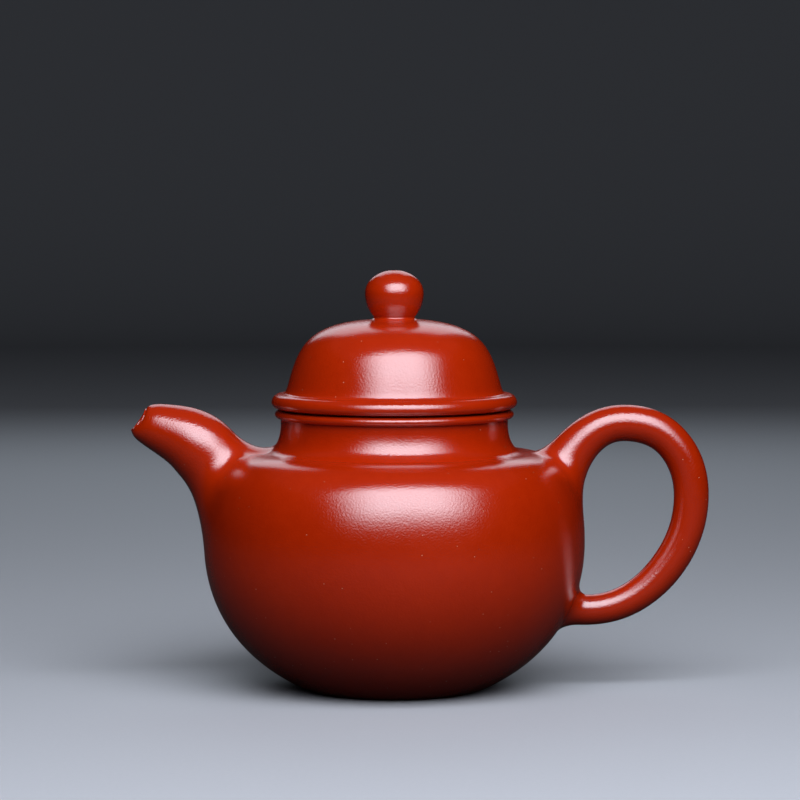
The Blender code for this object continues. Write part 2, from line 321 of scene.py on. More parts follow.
def guarded(points, gap=0.02):
    """Adds a point just inside each end, so that the shading runs straight on over a joint."""
    def near(end, other):
        length = math.dist(end, other)
        return tuple(end[k] + (other[k] - end[k]) * gap / length for k in (0, 1))
    first, last = near(points[0], points[1]), near(points[-1], points[-2])
    return [points[0], first] + points[1:-1] + [last, points[-1]]


SHOULDER = bezier((SHOULDER_R, SHOULDER_Z), *SHOULDER_PULL, (BELLY_R, BELLY_Z), 64)
BELLY = bezier((BELLY_R, BELLY_Z), *BELLY_PULL, (BASE_R, 0.0), 80)
COVE = bezier((NECK_R, NECK_Z), *COVE_PULL, (SHOULDER_R, SHOULDER_Z), 36)
SKIN = np.array(COVE + SHOULDER[1:] + BELLY[1:])


# ---------------- node helpers
def feed(tree, socket, value):
    """Gives an input its value, or links it to the socket that drives it."""
    if isinstance(value, bpy.types.NodeSocket):
        tree.links.new(value, socket)
    else:
        socket.default_value = value


def node(tree, kind, feeds=None, **settings):
    """Adds a node. Feeds are input values or the sockets that drive them."""
    made = tree.nodes.new(kind)
    for name, value in settings.items():
        setattr(made, name, value)
    for key, value in (feeds or {}).items():
        feed(tree, made.inputs[key], value)
    return made


def flow(tree, kind, feeds=None, **settings):
    """Adds a node and gives its first output."""
    return node(tree, kind, feeds, **settings).outputs[0]


def sums(tree, operation, *values):
    """A Math node's output."""
    return flow(tree, "ShaderNodeMath", dict(enumerate(values)), operation=operation)


def times(tree, a, b):
    return sums(tree, "MULTIPLY", a, b)


def round_axis(tree, radius, angle, height):
    """A point at a radius, an angle and a height."""
    return flow(tree, "ShaderNodeCombineXYZ", {
        "X": times(tree, radius, sums(tree, "COSINE", angle)),
        "Y": times(tree, radius, sums(tree, "SINE", angle)), "Z": height})


def noise(tree, vector, scale, detail, roughness=0.5):
    """A noise texture's value."""
    return flow(tree, "ShaderNodeTexNoise", {"Vector": vector, "Scale": scale, "Detail": detail,
                                             "Roughness": roughness})


def new_group(name, kind, inputs, outputs):
    """An empty node group with named sockets, and its input and output nodes."""
    group = bpy.data.node_groups.new(name, kind)
    for label, socket, default in inputs:
        made = group.interface.new_socket(label, in_out="INPUT",
                                          socket_type="NodeSocket" + socket)
        if default is not None:
            made.default_value = default
    for label, socket in outputs:
        group.interface.new_socket(label, in_out="OUTPUT", socket_type="NodeSocket" + socket)
    return group, group.nodes.new("NodeGroupInput").outputs, group.nodes.new("NodeGroupOutput")


def once(build):
    """The node group that a function builds, built the first time and found after that."""
    return bpy.data.node_groups.get(build.__name__) or build(build.__name__)


def fired(tree, geometry, material, out):
    """Ends a geometry tree: real geometry with its clay on it."""
    real = flow(tree, "GeometryNodeRealizeInstances", {"Geometry": geometry})
    done = flow(tree, "GeometryNodeSetMaterial", {"Geometry": real, "Material": material})
    tree.links.new(done, out.inputs[0])
    return tree


# ---------------- the wheel and the pierced dome
def potters_wheel(name):
    """Turns an ordered profile line, run down its outer side, round Z."""
    tree, given, out = new_group(
        name, "GeometryNodeTree",
        [("Profile", "Geometry", None), ("Segments", "Int", 256), ("Closed Ring", "Bool", False),
         ("Crease Angle", "Float", CREASE), ("Clay", "Material", None)],
        [("Piece", "Geometry")])
    count = flow(tree, "GeometryNodeAttributeDomainSize", {0: given["Profile"]})
    rows = sums(tree, "ADD", count, given["Closed Ring"])
    columns = sums(tree, "ADD", given["Segments"], 1.0)
    grid = flow(tree, "GeometryNodeMeshGrid", {"Vertices X": columns, "Vertices Y": rows})
    index = flow(tree, "GeometryNodeInputIndex")
    row = sums(tree, "MODULO", sums(tree, "MODULO", index, rows), count)
    column = sums(tree, "FLOOR", sums(tree, "DIVIDE", index, rows))
    angle = times(tree, sums(tree, "DIVIDE", column, given["Segments"]), TAU)
    where = flow(tree, "GeometryNodeInputPosition")
    point = flow(tree, "GeometryNodeSampleIndex",
                 {"Geometry": given["Profile"], "Value": where, "Index": row},
                 data_type="FLOAT_VECTOR", domain="POINT")
    parts = node(tree, "ShaderNodeSeparateXYZ", {0: point}).outputs
    spun = round_axis(tree, parts["X"], angle, parts["Z"])
    moved = flow(tree, "GeometryNodeSetPosition", {"Geometry": grid, "Position": spun})
    merged = flow(tree, "GeometryNodeMergeByDistance", {"Geometry": moved, "Distance": 2e-6})
    outward = flow(tree, "GeometryNodeFlipFaces", {"Mesh": merged})
    smooth = flow(tree, "GeometryNodeSetShadeSmooth", {"Geometry": outward, "Shade Smooth": True})
    bend = flow(tree, "GeometryNodeInputMeshEdgeAngle")
    sharp = sums(tree, "GREATER_THAN", bend, given["Crease Angle"])
    crease = flow(tree, "GeometryNodeSetShadeSmooth",
                  {"Geometry": smooth, "Selection": sharp, "Shade Smooth": False}, domain="EDGE")
    return fired(tree, crease, given["Clay"], out)


def pierced_dome(name):
    """A turned dome with one hole at its crown and two rings of holes round it."""
    tree, given, out = new_group(
        name, "GeometryNodeTree",
        [("Profile", "Geometry", None), ("Segments", "Int", 96), ("Dome Radius", "Float", 0.0088),
         ("Hole Radius", "Float", 0.0008), ("Inner Holes", "Int", 6), ("Outer Holes", "Int", 12),
         ("Ring Lean", "Float", RING_LEAN), ("Clay", "Material", None)],
        [("Piece", "Geometry")])
    wheel = flow(tree, "GeometryNodeGroup", {
        "Profile": given["Profile"], "Segments": given["Segments"], "Closed Ring": True,
        "Clay": given["Clay"]}, node_tree=once(potters_wheel))
    index = flow(tree, "GeometryNodeInputIndex")
    last_inner = sums(tree, "ADD", given["Inner Holes"], 0.5)
    outer = sums(tree, "GREATER_THAN", index, last_inner)
    ring = sums(tree, "ADD", sums(tree, "GREATER_THAN", index, 0.5), outer)
    lean = times(tree, ring, given["Ring Lean"])
    inner_turn = sums(tree, "DIVIDE", index, given["Inner Holes"])
    beyond = sums(tree, "SUBTRACT", index, last_inner)
    outer_turn = sums(tree, "DIVIDE", beyond, given["Outer Holes"])
    turn = flow(tree, "ShaderNodeMix", {"Factor": outer, "A": inner_turn, "B": outer_turn},
                data_type="FLOAT")
    aim = round_axis(tree, sums(tree, "SINE", lean), times(tree, turn, TAU),
                     sums(tree, "COSINE", lean))
    place = flow(tree, "ShaderNodeVectorMath", {0: aim, "Scale": given["Dome Radius"]},
                 operation="SCALE")
    total = sums(tree, "ADD", sums(tree, "ADD", given["Inner Holes"], given["Outer Holes"]), 1.0)
    points = flow(tree, "GeometryNodePoints", {"Count": total, "Position": place})
    pin = flow(tree, "GeometryNodeMeshCylinder",
               {"Vertices": 20, "Radius": given["Hole Radius"], "Depth": 0.006})
    facing = flow(tree, "FunctionNodeAlignRotationToVector", {"Vector": aim}, axis="Z")
    pins = flow(tree, "GeometryNodeInstanceOnPoints",
                {"Points": points, "Instance": pin, "Rotation": facing})
    real_pins = flow(tree, "GeometryNodeRealizeInstances", {"Geometry": pins})
    pierced = flow(tree, "GeometryNodeMeshBoolean", {"Mesh 1": wheel, "Mesh 2": real_pins},
                   operation="DIFFERENCE", solver="EXACT")
    return fired(tree, pierced, given["Clay"], out)


# ---------------- clay finishes
def burnished_relief(name):
    """Height of the skin: fine orange peel, slow hand undulation, faint turning lines, pores."""
    tree, given, out = new_group(
        name, "ShaderNodeTree",
        [("Vector", "Vector", None), ("Peel Scale", "Float", 2300.0), ("Peel Depth", "Float", 1.0),
         ("Sweep Scale", "Float", 120.0), ("Sweep Depth", "Float", 1.0),
         ("Line Depth", "Float", 0.2), ("Pore Mask", "Float", 0.0), ("Pore Depth", "Float", 1.0)],
        [("Height", "Float")])
    peel = noise(tree, given["Vector"], given["Peel Scale"], 2.0, 0.45)
    sweep = noise(tree, given["Vector"], given["Sweep Scale"], 1.0, 0.4)
    long_way = flow(tree, "ShaderNodeMapping",
                    {"Vector": given["Vector"], "Scale": (90.0, 90.0, 1100.0)})
    lines = noise(tree, long_way, 1.0, 1.0)
    height = times(tree, peel, given["Peel Depth"])
    for texture, depth in ((sweep, "Sweep Depth"), (lines, "Line Depth")):
        height = sums(tree, "MULTIPLY_ADD", texture, given[depth], height)
    pits = times(tree, given["Pore Mask"], given["Pore Depth"])
    tree.links.new(sums(tree, "SUBTRACT", height, pits), out.inputs[0])
    return tree


def mineral_specks(name):
    """A mask of small round specks, scattered through the body of the clay."""
    tree, given, out = new_group(
        name, "ShaderNodeTree",
        [("Vector", "Vector", None), ("Cell Scale", "Float", 500.0), ("Share", "Float", 0.5),
         ("Speck Size", "Float", 0.1)],
        [("Mask", "Float")])
    cells = node(tree, "ShaderNodeTexVoronoi",
                 {"Vector": given["Vector"], "Scale": given["Cell Scale"]})
    pick = node(tree, "ShaderNodeSeparateColor", {0: cells.outputs["Color"]})
    chosen = sums(tree, "LESS_THAN", pick.outputs[0], given["Share"])
    core = times(tree, given["Speck Size"], 0.4)
    dot = flow(tree, "ShaderNodeMapRange",
               {"Value": cells.outputs["Distance"], "From Min": core,
                "From Max": given["Speck Size"], "To Min": 1.0, "To Max": 0.0},
               interpolation_type="SMOOTHSTEP")
    tree.links.new(times(tree, dot, chosen), out.inputs[0])
    return tree


def fired_tone(name):
    """A slow drift of tone with a finer mottle on it, from 0 to 1."""
    tree, given, out = new_group(
        name, "ShaderNodeTree",
        [("Vector", "Vector", None), ("Drift Scale", "Float", 28.0),
         ("Mottle Scale", "Float", 420.0), ("Mottle Share", "Float", 0.4)],
        [("Tone", "Float")])
    drift = noise(tree, given["Vector"], given["Drift Scale"], 2.0)
    mottle = noise(tree, given["Vector"], given["Mottle Scale"], 4.0, 0.6)
    mixed = flow(tree, "ShaderNodeMix", {"Factor": given["Mottle Share"], "A": drift, "B": mottle},
                 data_type="FLOAT")
    tone = flow(tree, "ShaderNodeMapRange", {"Value": mixed, "From Min": 0.32, "From Max": 0.68})
    tree.links.new(tone, out.inputs[0])
    return tree


def mixed_colour(tree, factor, a, b):
    """The output of a colour mix; a plain colour is given without its alpha."""
    made = node(tree, "ShaderNodeMix", {"Factor": factor}, data_type="RGBA")
    for socket, value in ((made.inputs[6], a), (made.inputs[7], b)):
        linked = isinstance(value, bpy.types.NodeSocket)
        feed(tree, socket, value if linked else tuple(value) + (1.0,))
    return made.outputs[2]


def use_group(tree, build, **values):
    """The output of a shader group, with its inputs given by name."""
    feeds = {label.replace("_", " ").title(): value for label, value in values.items()}
    return flow(tree, "ShaderNodeGroup", feeds, node_tree=once(build))


def clay(name, light, deep, fleck, *, roughness, spread, specular, peel, sweep, line, flecks,
         pores):
    """A fired clay: drifting colour, pale flecks, pores darkened with painted shade, and a burnished
    or raw relief.
    """
    made = bpy.data.materials.get(name)
    if made:
        return made
    made = bpy.data.materials.new(name)
    made.use_nodes = True
    tree = made.node_tree
    shader = tree.nodes["Principled BSDF"]
    place = node(tree, "ShaderNodeTexCoord").outputs["Object"]
    tone = use_group(tree, fired_tone, vector=place)
    pale = use_group(tree, mineral_specks, vector=place, cell_scale=520.0, share=flecks,
                     speck_size=0.085)
    moved = flow(tree, "ShaderNodeMapping", {"Vector": place, "Location": (0.31, 0.17, 0.05)})
    shaded_pores = use_group(tree, mineral_specks, vector=moved, cell_scale=640.0, share=pores,
                     speck_size=0.075)
    # painted shade: pores get a near-black colour for the shade inside their pits, on top of their
    # real dip in the relief
    pore_shade = tuple(c * 0.25 for c in deep)
    colour = mixed_colour(tree, tone, deep, light)
    colour = mixed_colour(tree, times(tree, shaded_pores, 0.55), colour, pore_shade)
    colour = mixed_colour(tree, times(tree, pale, 0.75), colour, fleck)
    tree.links.new(colour, shader.inputs["Base Color"])
    dull = flow(tree, "ShaderNodeMapRange",
                {"Value": tone, "To Min": roughness - spread, "To Max": roughness + spread})
    tree.links.new(dull, shader.inputs["Roughness"])
    height = use_group(tree, burnished_relief, vector=place, peel_depth=peel, sweep_depth=sweep,
                       line_depth=line, pore_mask=shaded_pores, pore_depth=1.5)
    bump = flow(tree, "ShaderNodeBump", {"Height": height, "Strength": 1.0, "Distance": 1e-5})
    tree.links.new(bump, shader.inputs["Normal"])
    shader.inputs["Metallic"].default_value = 0.0
    shader.inputs["IOR"].default_value = 1.58
    shader.inputs["Specular IOR Level"].default_value = specular
    made.diffuse_color = tuple(light) + (1.0,)
    return made


def clays(settings):
    """The burnished red clay and the raw inner clay."""
    finish = settings.finish
    red = clay("burnished_red_clay", finish.colour, finish.deep, finish.fleck,
               roughness=finish.roughness, spread=0.02, specular=0.95, peel=4.2, sweep=3.0,
               line=0.4, flecks=0.25, pores=0.25)
    raw = clay("raw_inner_clay", finish.inside, tuple(0.8 * c for c in finish.inside),
               finish.fleck, roughness=0.62, spread=0.05, specular=0.4, peel=6.0, sweep=4.0,
               line=3.0, flecks=0.7, pores=0.7)
    return red, raw


# ---------------- making pieces
def link(name, mesh):
    """A new object in the scene; a name that is taken is an error."""
    if bpy.data.objects.get(name):
        raise RuntimeError(f"{name} is already made")
    obj = bpy.data.objects.new(name, mesh)
    bpy.context.scene.collection.objects.link(obj)
    return obj


def bake(obj):
    """Turns the evaluated result into the piece's own plain mesh and clears its modifiers."""
    bpy.context.view_layer.update()
    graph = bpy.context.evaluated_depsgraph_get()
    mesh = bpy.data.meshes.new_from_object(obj.evaluated_get(graph))
    if not mesh.polygons:
        raise RuntimeError(f"{obj.name} came out empty")
    obj.modifiers.clear()
    used = [material for material in mesh.materials if material]
    mesh.materials.clear()
    for material in used:
        mesh.materials.append(material)
    mesh.polygons.foreach_set("material_index", np.zeros(len(mesh.polygons), np.int32))
    old, obj.data = obj.data, mesh
    bpy.data.meshes.remove(old)
    mesh.name = obj.name
    return obj


def shaped(name, profile, tree, values):
    """Runs a node tree on a profile line, given in millimetres, and bakes it."""
    mesh = bpy.data.meshes.new(name + "_profile")
    mesh.from_pydata([(r * MM, 0, z * MM) for r, z in profile],
                     [(i, i + 1) for i in range(len(profile) - 1)], [])
    obj = link(name, mesh)
    modifier = obj.modifiers.new("shape", "NODES")
    modifier.node_group = tree
    for socket in tree.interface.items_tree:
        if socket.item_type == "SOCKET" and socket.name in values:
            modifier[socket.identifier] = values[socket.name]
    return bake(obj)


def turned(name, profile, settings, closed=True, lift=0.0, raw=False):
    """A piece turned on the wheel; an open profile has to start and end on the axis."""
    values = {"Segments": settings.pot.segments, "Closed Ring": closed,
              "Clay": clays(settings)[1 if raw else 0]}
    return shaped(name, [(r, z + lift) for r, z in profile], once(potters_wheel), values)


def line_inside(obj, height, settings):
    """Gives the faces that look toward the hollow's middle the raw inner clay."""
    if not settings.show_inside:
        return
    mesh = obj.data
    mesh.materials.append(clays(settings)[1])
    count = len(mesh.polygons)
    middles, normals = np.zeros(count * 3, np.float32), np.zeros(count * 3, np.float32)
    mesh.polygons.foreach_get("center", middles)
    mesh.polygons.foreach_get("normal", normals)
    away = middles.reshape(-1, 3) - np.array((0, 0, height * MM))
    inner = (away * normals.reshape(-1, 3)).sum(1) < 0
    mesh.polygons.foreach_set("material_index", inner.astype(np.int32))
    mesh.update()


def finish_piece(obj, body, node_name, slot):
    """Hangs a piece on the body it rides on and hides the CAD node it stands for. The slot is not
    used.
    """
    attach(obj, body)
    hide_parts(node_name)


def lofted(name, rows, materials, loop=False, inner_rows=()):
    """A closed skin through rings of points, in millimetres; a ring may be drawn in to a point."""
    rings, around = len(rows), len(rows[0])
    points = np.concatenate(rows) * MM
    i, j = np.meshgrid(np.arange(rings if loop else rings - 1), np.arange(around), indexing="ij")
    after, beside = (i + 1) % rings, (j + 1) % around
    quads = np.stack([i * around + j, after * around + j, after * around + beside,
                      i * around + beside], -1)
    mesh = bpy.data.meshes.new(name)
    mesh.from_pydata(points.tolist(), [], quads.reshape(-1, 4).tolist())
    for material in materials:
        mesh.materials.append(material)
    if len(inner_rows):
        inner = np.isin(i.reshape(-1), inner_rows)
        mesh.polygons.foreach_set("material_index", inner.astype(np.int32))
    weld(mesh)
    return link(name, mesh)


def weld(mesh):
    """Merges points that lie on each other, then smooths all but real edges."""
    work = bmesh.new()
    work.from_mesh(mesh)
    bmesh.ops.remove_doubles(work, verts=work.verts, dist=1e-7)
    work.to_mesh(mesh)
    work.free()
    mesh.shade_smooth()
    mesh.set_sharp_from_angle(angle=CREASE)


# ---------------- rolled tubes and their luted roots
class Roll:
    """A tube through rings given by an upper point, a lower point and half a width."""

    def __init__(self, rings, fine=24, soften=1.2):
        values = np.array([(*upper, *lower, width) for upper, lower, width in rings])
        self.station = np.linspace(0, len(rings) - 1, (len(rings) - 1) * fine + 1)
        middle = (values[:, :2] + values[:, 2:4]) / 2
        chord = np.concatenate([[0], np.cumsum(np.linalg.norm(np.diff(middle, axis=0), axis=1))])
        along = np.interp(self.station, np.arange(len(rings)), chord)
        table = natural_spline(chord, values, along)
        self.along = along
        self.values = smoothed(along, table, soften)

    def at(self, station, turn):
        """Points at arrays of stations and of turns; a turn of 0 is the upper line."""
        v = [np.interp(station, self.station, self.values[:, k]) for k in range(5)]
        middle = np.stack([(v[0] + v[2]) / 2, 0 * v[0], (v[1] + v[3]) / 2], -1)
        half = np.stack([(v[0] - v[2]) / 2, 0 * v[0], (v[1] - v[3]) / 2], -1)
        across = np.stack([0 * v[0], v[4], 0 * v[0]], -1)
        return middle + half * np.cos(turn)[..., None] + across * np.sin(turn)[..., None]

    def heading(self, station, turn, toward_root, step=0.02):
        """The direction of the surface line at each point, along the tube."""
        run = self.at(station + step, turn) - self.at(station - step, turn)
        run /= np.linalg.norm(run, axis=-1)[..., None]
        return run * toward_root


def natural_spline(x, y, at):
    """A natural cubic spline through the rows of y."""
    n = len(x)
    h = np.diff(x)
    matrix = np.eye(n)
    right = np.zeros_like(y)
    for i in range(1, n - 1):
        matrix[i, i - 1:i + 2] = h[i - 1], 2 * (h[i - 1] + h[i]), h[i]
        right[i] = 6 * ((y[i + 1] - y[i]) / h[i] - (y[i] - y[i - 1]) / h[i - 1])
    bend = np.linalg.solve(matrix, right)
    k = np.clip(np.searchsorted(x, at) - 1, 0, n - 2)
    a, b, w = (x[k + 1] - at)[:, None], (at - x[k])[:, None], h[k][:, None]
    return ((bend[k] * a**3 + bend[k + 1] * b**3) / (6 * w)
            + (y[k] / w - bend[k] * w / 6) * a + (y[k + 1] / w - bend[k + 1] * w / 6) * b)


def smoothed(along, table, width):
    """A running average over a width in millimetres that shrinks to nothing at both ends."""
    room = np.minimum(along, along[-1] - along)
    width = np.maximum(np.minimum(width, room / 2), 1e-3)[:, None]
    weight = np.exp(-0.5 * ((along[None, :] - along[:, None]) / width) ** 2)
    weight *= np.gradient(along)[None, :]
    return (weight @ table) / weight.sum(1)[:, None]


def rings_of(stations):
    """Rings square to a line of (x, z, radius) stations."""
    line = np.array(stations)
    run = np.gradient(line[:, :2], axis=0)
    run /= np.linalg.norm(run, axis=1)[:, None]
    normal = np.stack([-run[:, 1], run[:, 0]], 1)
    return [(tuple(p[:2] + n * p[2]), tuple(p[:2] - n * p[2]), p[2]) for p, n in zip(line, normal)]


SKIN_RUN = np.concatenate([[0], np.cumsum(np.linalg.norm(np.diff(SKIN, axis=0), axis=1))])
SKIN_TANGENT = np.gradient(SKIN, SKIN_RUN, axis=0)
SKIN_TANGENT /= np.linalg.norm(SKIN_TANGENT, axis=1)[:, None]


def run_near(point):
    """How far down the pot's profile its nearest point to a (radius, height) lies."""
    return SKIN_RUN[np.argmin(np.linalg.norm(SKIN - np.array(point), axis=1))]


def on_skin(side, angle, run, depth=0.0):
    """Points on the pot's outside, or under it, at an angle round from the spout or handle."""
    r, z = (np.interp(run, SKIN_RUN, SKIN[:, k]) for k in (0, 1))
    tr, tz = (np.interp(run, SKIN_RUN, SKIN_TANGENT[:, k]) for k in (0, 1))
    r, z = r + tz * depth, z - tr * depth
    return np.stack([side * r * np.cos(angle), r * np.sin(angle), z], -1)


def under_skin(points):
    """How deep points lie under the pot's outside."""
    flat = np.stack([np.hypot(points[..., 0], points[..., 1]), points[..., 2]], -1)
    shape = flat.shape[:-1]
    flat = flat.reshape(-1, 2)
    coarse, tangent = SKIN[::2], SKIN_TANGENT[::2]
    nearest = np.argmin(((flat[:, None, :] - coarse[None]) ** 2).sum(-1), axis=1)
    off, t = flat - coarse[nearest], tangent[nearest]
    return (off[:, 0] * t[:, 1] - off[:, 1] * t[:, 0]).reshape(shape)


def luted_root(roll, root, turn, toward_root=1.0, upper_turn=0.0, steps=44):
    """The stations where a root leaves its tube, the rings of its fillet down to the pot's skin,
    and a function that gives rings under the skin.
    """
    lean = np.cos(turn - upper_turn)
    weights = np.stack([np.maximum(lean, 0) ** 2, 1 - lean**2, np.maximum(-lean, 0) ** 2])
    start, leave, land = (np.array(root[k]) @ weights for k in ("start", "leave", "land"))
    up, down = run_near(root["upper"]), run_near(root["lower"])
    middle, half = (up + down) / 2, (down - up) / 2
    angle, run = root["angle"] * np.sin(turn), middle - half * lean

    def under(share, depth):
        return on_skin(root["side"], share * angle, middle + share * (run - middle), depth)

    landing = under(1.0, 0.0)
    reach = np.interp(run, SKIN_RUN, SKIN[:, 0])
    below, above = (on_skin(root["side"], angle, run + step) for step in (0.05, -0.05))
    down_line = (below - above) / 0.1
    round_line = np.stack([-root["side"] * np.sin(angle), np.cos(angle), 0 * angle], -1)
    away = round_line * (reach * angle)[:, None] + down_line * (-half * lean)[:, None]
    away /= np.linalg.norm(away, axis=1)[:, None]
    first = roll.at(start, turn)
    second = first + roll.heading(start, turn, toward_root) * leave[:, None]
    third = landing - away * land[:, None]
    rings = []
    for u in list(np.linspace(0, 1, steps + 1)[1:-1]) + [0.997, 1.0]:
        rings.append((1 - u) ** 3 * first + 3 * (1 - u) ** 2 * u * second
                     + 3 * (1 - u) * u * u * third + u**3 * landing)
    return start, rings, under


def capped(under):
    """Rings that close a root inside the pot's wall."""
    return [under(share, ROOT_DEPTH) for share in (ROOT_TUCK, 0.8, 0.6, 0.4, 0.2, 0.0)]


def spout_channel():
    """The hollow down the spout and through the belly wall."""
    return Roll(CHANNEL_MOUTH + rings_of(CHANNEL), soften=0.8)


# ---------------- operators
class TEAPOT_OT_turn_pot(bpy.types.Operator):
    """Turn the base, belly wall, shoulder, neck and mouth bead of the pot"""
    bl_idname = "clay_teapot.turn_pot"
    bl_label = "Turn the Pot"

    def execute(self, context):
        settings = context.scene.clay_teapot
        wall, foot = settings.pot.wall / MM, settings.pot.foot_round / MM
        inside = inset(SHOULDER + BELLY[1:], wall)
        inner_shoulder, inner_belly = inside[:len(SHOULDER)], inside[len(SHOULDER) - 1:]

        side = cut(BELLY, 1, foot, FLOOR)
        corner = bezier(side[-1], (BASE_R + 0.45 * foot, 0.35 * foot), (BASE_R, 0.0),
                        (BASE_R - 1.1 * foot, 0.0), 10)
        base = [(0, FLOOR)] + guarded(side[:-1] + corner) + [(0, 0)]
        pieces = [("base_disc", turned("pot_base", base, settings, closed=False))]

        outer = guarded(cut(SHOULDER, 0, SEAM_R, BELLY_R + 1) + cut(BELLY, 1, FLOOR, BELLY_Z)[1:])
        inner = cut(inner_shoulder, 0, SEAM_R, BELLY_R) + cut(inner_belly, 1, FLOOR, BELLY_Z)[1:]
        belly = turned("pot_belly", outer + inner[::-1], settings)
        self.pierce(belly)
        pieces.append(("body_wall", belly))

        top = guarded(cut(SHOULDER, 0, 0, SEAM_R))
        under = [(BORE_R, SHOULDER_Z - wall)] + cut(inner_shoulder, 0, 0, SEAM_R)
        shoulder = turned("pot_shoulder", [(BORE_R, SHOULDER_Z)] + top + under[::-1], settings)
        pieces.append(("shoulder_disc", shoulder))

        flare = guarded([(NECK_R, BEAD_LOW), (NECK_R, BEAD_LOW - NECK_STRAIGHT)] + COVE)
        neck = turned("pot_neck", [(BORE_R, BEAD_LOW)] + flare + [(BORE_R, SHOULDER_Z)], settings)
        pieces.append(("neck_ring", neck))

        half = (BEAD_TOP - BEAD_LOW) / 2
        edge = arc((BEAD_R - BEAD_ROUND, BEAD_LOW + half), BEAD_ROUND, 90, -90, 28,
                   squash=half / BEAD_ROUND)
        lip = arc((BORE_R + LIP_ROUND, BEAD_TOP - LIP_ROUND), LIP_ROUND, 180, 90, 6)
        bead = turned("pot_mouth_bead", lip + edge + [(BORE_R, BEAD_LOW)], settings)
        pieces.append(("mouth_bead", bead))

        for cad, obj in pieces:
            line_inside(obj, LINING_Z.get(cad, POT_LINING_Z), settings)
            finish_piece(obj, "pot", cad, "red_clay")
        return {"FINISHED"}

    def pierce(self, belly):
        """Cuts the spout's channel through the belly wall."""
        turn = np.linspace(0, TAU, 72, endpoint=False)
        channel = spout_channel()
        rows = [channel.at(np.full_like(turn, s), turn)
                for s in np.linspace(3.6, len(CHANNEL), 30)]
        ends = [np.broadcast_to(row.mean(0), row.shape) for row in (rows[0], rows[-1])]
        pin = lofted("channel_pin", [ends[0]] + rows + [ends[1]], [])
        modifier = belly.modifiers.new("channel", "BOOLEAN")
        modifier.operation, modifier.solver, modifier.object = "DIFFERENCE", "EXACT", pin
        bake(belly)
        bpy.data.objects.remove(pin)
        belly.data.set_sharp_from_angle(angle=CREASE)


class TEAPOT_OT_roll_spout(bpy.types.Operator):
    """Roll the spout, open its channel, and lute its root to the belly and shoulder"""
    bl_idname = "clay_teapot.roll_spout"
    bl_label = "Roll the Spout"

    def execute(self, context):
        settings = context.scene.clay_teapot
        turn = np.linspace(0, TAU, settings.spout.around, endpoint=False)
        roll = Roll(SPOUT_MOUTH + rings_of(SPOUT_STATIONS))
        start, fillet, under = luted_root(roll, SPOUT_ROOT, turn)
        tube = [roll.at(start * share, turn) for share in np.linspace(0, 1, 90)]

        channel = spout_channel()
        stations = np.linspace(0, len(CHANNEL) - 0.2, 260)
        grid_s, grid_t = np.meshgrid(stations, turn, indexing="ij")
        depth = under_skin(channel.at(grid_s, grid_t))
        entry = stations[np.argmax(depth > ROOT_DEPTH, axis=0)]
        bore = [channel.at(entry * share, turn) for share in np.linspace(1, 0, 60)]

        dip = settings.spout.rim_dip / MM * np.sin(turn) ** 2 * (0.65 - 0.35 * np.sin(turn))
        mouth = tube[0].mean(0)
        for rows in (tube, bore):
            for k, row in enumerate(rows):
                fade = math.exp(-(np.linalg.norm(row.mean(0) - mouth) / MOUTH_FADE) ** 2)
                rows[k] = row - dip[:, None] * fade * MOUTH_NORMAL
        outer, inner = tube[0], bore[-1]
        middle, reach = (outer + inner) / 2, np.linalg.norm(outer - inner, axis=1)[:, None] / 2
        spoke = (outer - inner) / (2 * reach)
        rim = [middle + reach * (math.cos(a) * spoke + math.sin(a) * MOUTH_NORMAL)
               for a in np.radians(np.linspace(180, 0, 11)[1:-1])]
        rows = tube + fillet + [under(ROOT_TUCK, ROOT_DEPTH)] + bore + rim
        first_bore = len(tube) + len(fillet) + 1
        inner_rows = np.arange(first_bore, first_bore + len(bore) - 8)
        spout = lofted("spout_tube", rows, clays(settings), loop=True, inner_rows=inner_rows)
        finish_piece(spout, "pot", "spout", "red_clay")
        return {"FINISHED"}


class TEAPOT_OT_pierce_strainer(bpy.types.Operator):
    """Turn the small dome behind the spout and pierce its holes"""
    bl_idname = "clay_teapot.pierce_strainer"
    bl_label = "Pierce the Strainer"

    def execute(self, context):
        settings = context.scene.clay_teapot
        wall = settings.spout.strainer_wall / MM
        profile = arc((0, 0), STRAINER_R, 90, 0, 40) + arc((0, 0), STRAINER_R - wall, 0, 90, 32)
        values = {"Segments": 96, "Dome Radius": STRAINER_R * MM,
                  "Hole Radius": settings.spout.hole, "Inner Holes": 6, "Outer Holes": 12,
                  "Ring Lean": RING_LEAN, "Clay": clays(settings)[1]}
        dome = shaped("spout_strainer", profile, once(pierced_dome), values)
        drop = BELLY_Z - STRAINER_AIM_DROP - STRAINER_AT[1]
        inward = Vector((-STRAINER_AT[0], 0, drop)).normalized()
        place = inward.to_track_quat("Z", "Y").to_matrix().to_4x4()
        place.translation = (STRAINER_AT[0] * MM, 0, STRAINER_AT[1] * MM)
        dome.data.transform(place)
        dome.data.set_sharp_from_angle(angle=CREASE)
        finish_piece(dome, "pot", "strainer_dome", "inner_clay")
        return {"FINISHED"}


class TEAPOT_OT_roll_handle(bpy.types.Operator):
    """Roll the ear handle and lute both its roots to the pot"""
    bl_idname = "clay_teapot.roll_handle"
    bl_label = "Roll the Handle"

    def execute(self, context):
        settings = context.scene.clay_teapot
        turn = np.linspace(0, TAU, settings.spout.around, endpoint=False)
        roll = Roll(rings_of(HANDLE))
        top, upper, top_under = luted_root(roll, HANDLE_TOP, turn, toward_root=-1.0)
        foot, lower, foot_under = luted_root(roll, HANDLE_FOOT, turn, upper_turn=math.pi)
        tube = [roll.at(top + (foot - top) * share, turn) for share in np.linspace(0, 1, 240)]
        rows = capped(top_under)[::-1] + upper[::-1] + tube + lower + capped(foot_under)
        handle = lofted("ear_handle", rows, clays(settings)[:1])
        finish_piece(handle, "pot", "handle", "red_clay")
        return {"FINISHED"}


